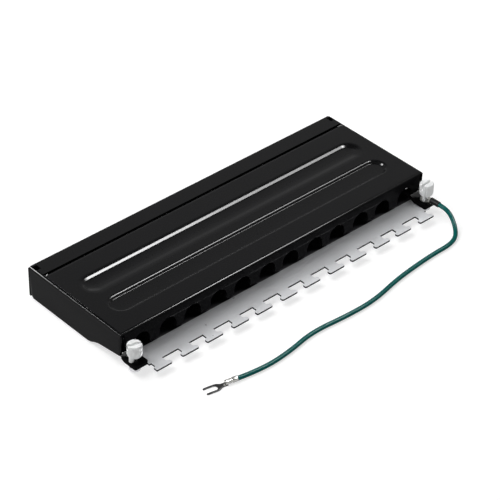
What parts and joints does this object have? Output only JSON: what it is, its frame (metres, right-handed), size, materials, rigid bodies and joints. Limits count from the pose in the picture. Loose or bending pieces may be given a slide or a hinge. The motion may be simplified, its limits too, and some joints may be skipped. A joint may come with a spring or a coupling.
{
  "type": "wall mount patch panel",
  "caption": "Low steel wall case with a row of shielded jacks on one side, cable notches, tie tabs, two thumbscrews and a green ground lead on the other.",
  "frame": {"origin": "centre of the case's footprint on the wall plane", "axes": "+X along the length, +Y towards the jack face, +Z away from the wall"},
  "size_m": [0.2552, 0.1473, 0.024],
  "materials": {
    "black_coat": "fine satin powder coat",
    "zinc_sheet": "zinc plated",
    "clear_plastic": "frosted clear nylon",
    "plated_steel": "plated",
    "board_green": "solder mask",
    "jack_metal": "tinned",
    "jack_plastic": "moulded",
    "block_plastic": "moulded",
    "gold_contact": "gold flash",
    "tinned_terminal": "tinned",
    "black_sleeve": "soft sleeve",
    "wire_green": "insulation"
  },
  "bodies": {
    "case": {"base_plate": "zinc_sheet", "front_frame": "black_coat", "top_cover": "black_coat", "cover_ear_left": "black_coat", "cover_ear_right": "black_coat", "clinch_nuts": "plated_steel", "circuit_board": "board_green", "board_spacers": "plated_steel", "board_screws": "plated_steel", "jack_contacts": "gold_contact", "punch_down_blades": "plated_steel", "ring_terminal": "tinned_terminal", "terminal_boot": "black_sleeve", "ground_wire": "wire_green", "spade_terminal": "tinned_terminal", "jack_shield_01": "jack_metal", "jack_insert_01": "jack_plastic", "punch_down_block_01": "block_plastic", "jack_shield_02": "jack_metal", "jack_insert_02": "jack_plastic", "punch_down_block_02": "block_plastic", "jack_shield_03": "jack_metal", "jack_insert_03": "jack_plastic", "punch_down_block_03": "block_plastic", "jack_shield_04": "jack_metal", "jack_insert_04": "jack_plastic", "punch_down_block_04": "block_plastic", "jack_shield_05": "jack_metal", "jack_insert_05": "jack_plastic", "punch_down_block_05": "block_plastic", "jack_shield_06": "jack_metal", "jack_insert_06": "jack_plastic", "punch_down_block_06": "block_plastic", "jack_shield_07": "jack_metal", "jack_insert_07": "jack_plastic", "punch_down_block_07": "block_plastic", "jack_shield_08": "jack_metal", "jack_insert_08": "jack_plastic", "punch_down_block_08": "block_plastic", "jack_shield_09": "jack_metal", "jack_insert_09": "jack_plastic", "punch_down_block_09": "block_plastic", "jack_shield_10": "jack_metal", "jack_insert_10": "jack_plastic", "punch_down_block_10": "block_plastic", "jack_shield_11": "jack_metal", "jack_insert_11": "jack_plastic", "punch_down_block_11": "block_plastic", "jack_shield_12": "jack_metal", "jack_insert_12": "jack_plastic", "punch_down_block_12": "block_plastic"},
    "left_thumbscrew": {"thumbscrew_knob_left": "clear_plastic", "thumbscrew_stud_left": "plated_steel"},
    "right_thumbscrew": {"thumbscrew_knob_right": "clear_plastic", "thumbscrew_stud_right": "plated_steel"}
  },
  "joints": [
    {"name": "thumbscrew_left", "type": "hinge", "parent": "case", "child": "left_thumbscrew", "pos_m": [-0.1228, -0.0414, 0.008], "axis": [0, 0, 1], "continuous": true},
    {"name": "thumbscrew_right", "type": "hinge", "parent": "case", "child": "right_thumbscrew", "pos_m": [0.1228, -0.0414, 0.008], "axis": [0, 0, 1], "continuous": true}
  ]
}
